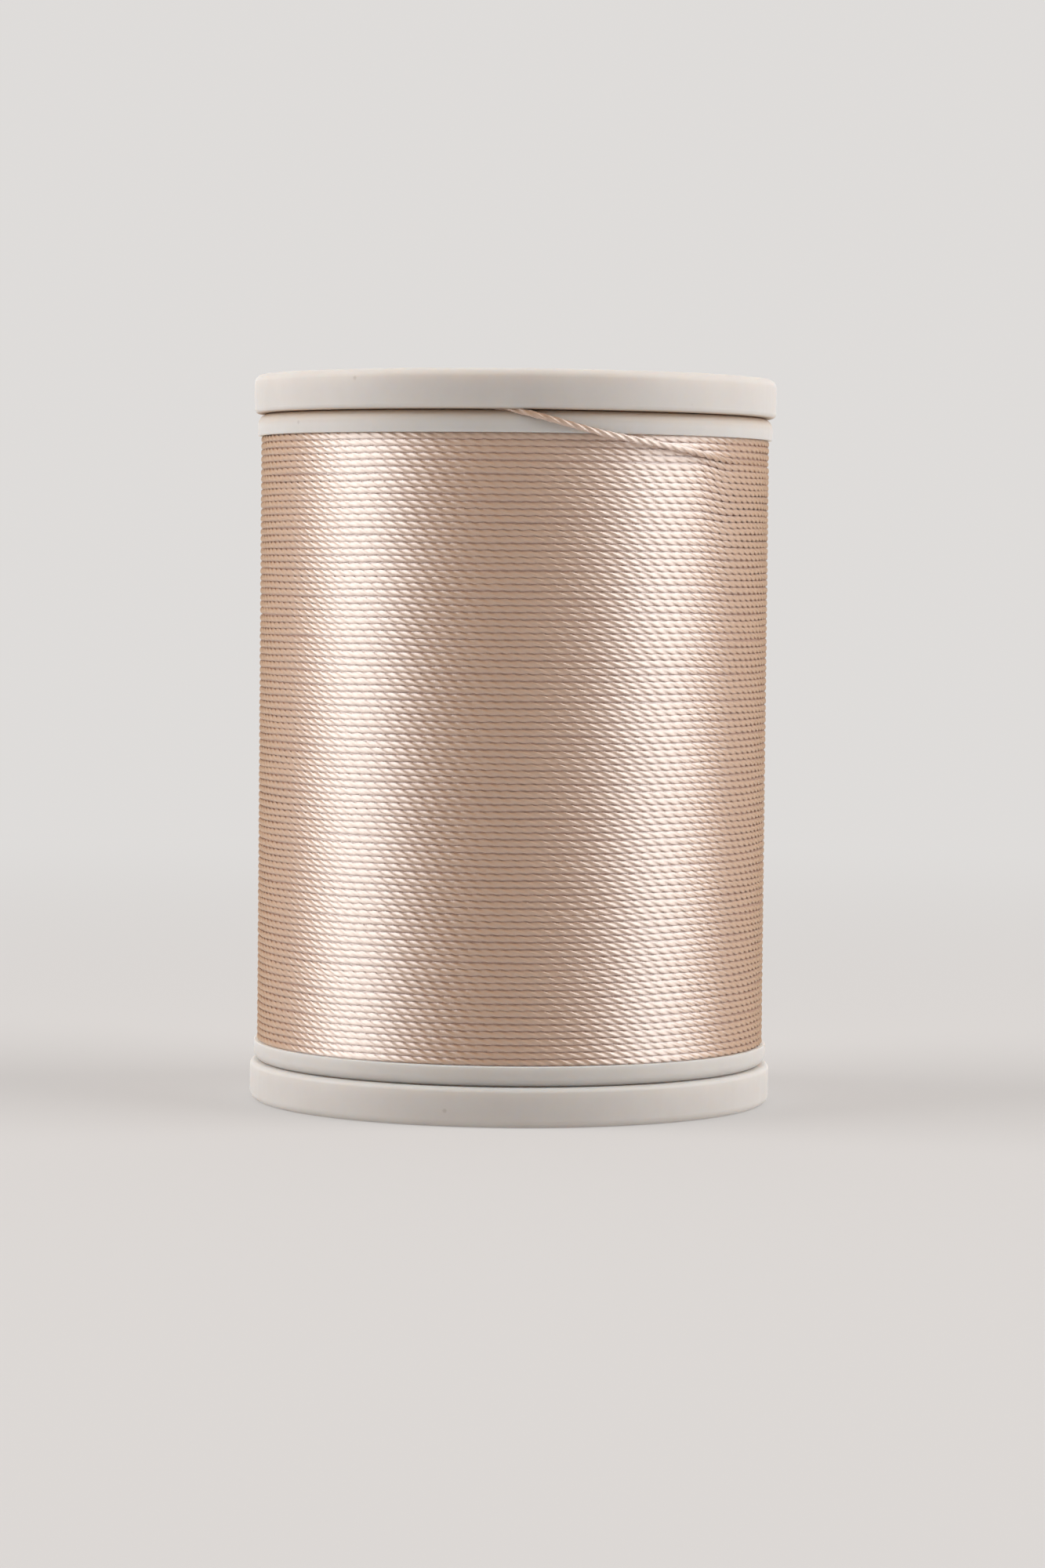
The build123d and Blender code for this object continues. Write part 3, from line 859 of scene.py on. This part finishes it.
def winding_tree():
    tree = bpy.data.node_groups.new("wound thread", "GeometryNodeTree")
    add_socket(tree, "Geometry", "NodeSocketGeometry")
    add_socket(tree, "Rows", "NodeSocketInt", ROWS)
    add_socket(tree, "Steps in a row", "NodeSocketInt", ROW_STEPS)
    sizes = {
        "First row": 0.0,
        "Rows in all": float(ROWS),
        "Course radius": COURSE_RADIUS,
        "Top row height": TOP_ROW,
        "Bottom row height": BOTTOM_ROW,
        "Row pitch": ROW_PITCH,
        "Thread radius": ROW_HALF_WIDTH,
        "Flattened": FLATTENED,
        "Wander": WANDER,
        "Tail level": TAIL_LEVEL,
        "Room below tail": PART_DOWN,
        "End dive": END_DIVE,
        "Seed": 7.0,
    }
    for name, size in sizes.items():
        add_socket(tree, name, "NodeSocketFloat", size)
    add_socket(tree, "Material", "NodeSocketMaterial")
    add_socket(tree, "Geometry", "NodeSocketGeometry", direction="OUTPUT")
    given = tree.nodes.new("NodeGroupInput").outputs

    steps = math_node(tree, "MULTIPLY", given["Rows"], given["Steps in a row"])
    straight = add_node(tree, "GeometryNodeCurvePrimitiveLine")
    points = add_node(
        tree,
        "GeometryNodeResampleCurve",
        Curve=straight.outputs[0],
        Count=math_node(tree, "ADD", steps, 1.0),
    )
    index = add_node(tree, "GeometryNodeInputIndex").outputs[0]
    turns = math_node(tree, "DIVIDE", index, given["Steps in a row"])
    row = math_node(tree, "ADD", turns, given["First row"])
    # clockwise from above, starting at the back
    angle = math_node(tree, "MULTIPLY_ADD", row, -2 * pi, pi / 2)
    across, back = math_node(tree, "COSINE", angle), math_node(tree, "SINE", angle)

    rise, sink = wander(tree, given, row, across, back)
    sink = math_node(tree, "ADD", sink, end_dive(tree, given, row))
    radius = math_node(tree, "SUBTRACT", given["Course radius"], sink)
    level = row_level(tree, given, row)
    level = math_node(tree, "SUBTRACT", level, room_for_tail(tree, given, across, back, level))
    height = math_node(tree, "ADD", level, rise)
    height = math_node(tree, "MAXIMUM", height, given["Bottom row height"])
    height = math_node(tree, "MINIMUM", height, given["Top row height"])
    spiral_place = add_node(
        tree,
        "ShaderNodeCombineXYZ",
        X=math_node(tree, "MULTIPLY", across, radius),
        Y=math_node(tree, "MULTIPLY", back, radius),
        Z=height,
    )
    spiral = add_node(
        tree, "GeometryNodeSetPosition", Geometry=points.outputs[0], Position=spiral_place.outputs[0]
    )
    round_length = math_node(tree, "MULTIPLY", given["Course radius"], 2 * pi)
    wound = add_node(
        tree,
        "GeometryNodeGroup",
        {"node_tree": twisted_thread},
        Line=spiral.outputs[0],
        Along=math_node(tree, "MULTIPLY", row, round_length),
        Thread_radius=given["Thread radius"],
    )
    finish_tree(tree, pressed_flat(tree, given, wound.outputs[0]), given["Material"])
    return tree


# %% [markdown]
# A tree runs on an object with a plain start, and the result is kept as a plain mesh. The spiral is cut
# into seven pieces only to keep each mesh a handy size.

# %% Wind the thread
WINDING_PIECES = 7


def made_with(tree, name, inputs, start=None):
    """Run a tree on an object and return the result as a plain mesh."""
    data = start or bpy.data.meshes.new(name + "_start")
    piece = bpy.data.objects.new(name + "_start", data)
    bpy.context.scene.collection.objects.link(piece)
    modifier = piece.modifiers.new("tree", "NODES")
    modifier.node_group = tree
    for socket in tree.interface.items_tree:
        if socket.in_out == "INPUT" and socket.name in inputs:
            modifier[socket.identifier] = inputs[socket.name]
    piece.update_tag()
    bpy.context.view_layer.update()
    mesh = evaluated_mesh(piece)
    bpy.data.objects.remove(piece)
    mesh.name = name
    return mesh


wound_thread = winding_tree()
for number in range(WINDING_PIECES):
    first, after = (ROWS * k // WINDING_PIECES for k in (number, number + 1))
    name = f"winding_{number + 1}"
    inputs = {"First row": float(first), "Rows": after - first, "Material": thread}
    winding = new_piece(name, made_with(wound_thread, name, inputs), thread, "spool")
    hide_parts("thread_winding")

# %% [markdown]
# ### The layers below
# Between the outer rows a little of the next layer shows. It is one turned piece with a ridge for each of
# its rows, set half a row lower, as thread lies in the hollows of the layer below.

# %% Inner layers
INNER_RADIUS = 13.90 * MM
# the inner layers lie deep between the outer rows, so this side gives them mostly the painted groove shade
INNER_SIDE = 0.8
INNER_SEGMENTS = 96
RIDGE_DEPTH = 0.08 * MM
RIDGE_POINTS = 4


def inner_outline():
    count = ROWS * RIDGE_POINTS
    outline = [Vector((BARREL_RADIUS, WINDING_HIGH)), Vector((BARREL_RADIUS, WINDING_LOW))]
    for k in range(count + 1):
        height = WINDING_LOW + (WINDING_HIGH - WINDING_LOW) * k / count
        hollow = 0.5 - 0.5 * cos(2 * pi * k / RIDGE_POINTS)
        outline.append(Vector((INNER_RADIUS - RIDGE_DEPTH * hollow, height)))
    return outline


def mark_threads(mesh):
    """Give a turned mesh the three attributes that the thread's finish reads."""
    places, ways = [], []
    for vertex in mesh.vertices:
        x, y, z = vertex.co
        radius = Vector((x, y)).length
        places += (z / ROW_HALF_WIDTH, radius / ROW_HALF_WIDTH, 0.0)
        ways += (-y / radius, x / radius, 0.0)
    sides = [INNER_SIDE] * len(mesh.vertices)
    # each is filled as soon as it is made: a reference to it goes stale when the next one is added
    mesh.attributes.new("thread_place", "FLOAT_VECTOR", "POINT").data.foreach_set("vector", places)
    mesh.attributes.new("thread_way", "FLOAT_VECTOR", "POINT").data.foreach_set("vector", ways)
    mesh.attributes.new("thread_side", "FLOAT", "POINT").data.foreach_set("value", sides)


inner_mesh = turned_mesh("inner_layers", inner_outline(), segments=INNER_SEGMENTS)
inner_mesh.shade_smooth()
mark_threads(inner_mesh)
inner_layers = new_piece("inner_layers", inner_mesh, thread, "spool")
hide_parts("thread_core")

# %% [markdown]
# ### The tail
# The loose end leaves the layer at the right, climbs over the flange's rim and goes under the lip of the
# top cap, which nips it. Its line is a smooth NURBS curve through a few chosen places.

# %% The tail's line
# degrees to the right of the front, distance from the axis and height, in millimetres
TAIL_ROUTE = [
    (112.0, 13.89, 35.29),
    (101.0, 13.89, 35.29),
    (90.0, 13.89, 35.29),
    (79.0, 13.89, 35.29),
    (68.0, 13.89, 35.29),
    (59.0, 13.89, 35.29),
    (52.5, 13.96, 35.37),
    (47.0, 14.15, 35.54),
    (41.5, 14.26, 35.75),
    (36.0, 14.28, 35.95),
    (29.5, 14.30, 36.17),
    (23.0, 14.36, 36.41),
    (17.5, 14.42, 36.65),
    (12.5, 14.43, 36.96),
    (8.0, 14.40, 37.26),
    (5.2, 14.32, 37.45),
    (3.2, 14.24, 37.57),
    (1.5, 14.10, 37.675),
    (-0.5, 13.92, 37.735),
    (-4.0, 13.55, 37.75),
    (-9.0, 13.05, 37.752),
    (-17.0, 12.68, 37.88),
    (-30.0, 12.60, 37.88),
    (-42.0, 12.60, 37.88),
    (-54.0, 12.60, 37.88),
    (-66.0, 12.60, 37.88),
    (-78.0, 12.60, 37.88),
]
CURVE_STEPS = 24


def tail_curve():
    """The route as a NURBS curve, in metres."""
    data = bpy.data.curves.new("tail_line", "CURVE")
    data.dimensions = "3D"
    data.resolution_u = CURVE_STEPS
    spline = data.splines.new("NURBS")
    spline.points.add(len(TAIL_ROUTE) - 1)
    for point, (turn, radius, height) in zip(spline.points, TAIL_ROUTE):
        turn = radians(turn)
        point.co = (radius * sin(turn) * MM, -radius * cos(turn) * MM, height * MM, 1)
    spline.order_u = 3
    spline.use_endpoint_u = True
    return data


def points_on(line):
    """The places that a curve with no bevel runs through."""
    piece = bpy.data.objects.new("line", line)
    bpy.context.scene.collection.objects.link(piece)
    bpy.context.view_layer.update()
    places = [vertex.co.copy() for vertex in evaluated_mesh(piece).vertices]
    bpy.data.objects.remove(piece)
    return places


tail_line = tail_curve()
tail_path = points_on(tail_line)


# %% [markdown]
# The tail is laid by the same group as the rows. It is rounder than they are, so its plies have deeper
# valleys and a steadier twist.

# %% Tail
TAIL_STEP = LAY / 12
TAIL_VALLEY = 0.48
TAIL_UNEVENNESS = 0.05


def tail_tree():
    tree = bpy.data.node_groups.new("loose thread", "GeometryNodeTree")
    add_socket(tree, "Geometry", "NodeSocketGeometry")
    add_socket(tree, "Step", "NodeSocketFloat", TAIL_STEP)
    add_socket(tree, "Thread radius", "NodeSocketFloat", THREAD_DIAMETER / 2)
    add_socket(tree, "Material", "NodeSocketMaterial")
    add_socket(tree, "Geometry", "NodeSocketGeometry", direction="OUTPUT")
    given = tree.nodes.new("NodeGroupInput").outputs
    points = add_node(
        tree, "GeometryNodeResampleCurve", {"mode": "LENGTH"}, Curve=given["Geometry"], Length=given["Step"]
    )
    laid = add_node(
        tree,
        "GeometryNodeGroup",
        {"node_tree": twisted_thread},
        Line=points.outputs[0],
        Along=add_node(tree, "GeometryNodeSplineParameter").outputs["Length"],
        Thread_radius=given["Thread radius"],
        Valley=TAIL_VALLEY,
        Unevenness=TAIL_UNEVENNESS,
    )
    finish_tree(tree, laid.outputs[0], given["Material"])
    return tree


tail_mesh = made_with(tail_tree(), "tail", {"Material": thread}, start=tail_line)
tail = new_piece("tail", tail_mesh, thread, "spool")
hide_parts("thread_tail")

# %% [markdown]
# The file ends by setting the view transform to Standard.

# %% Finish
bpy.context.scene.view_settings.view_transform = "Standard"
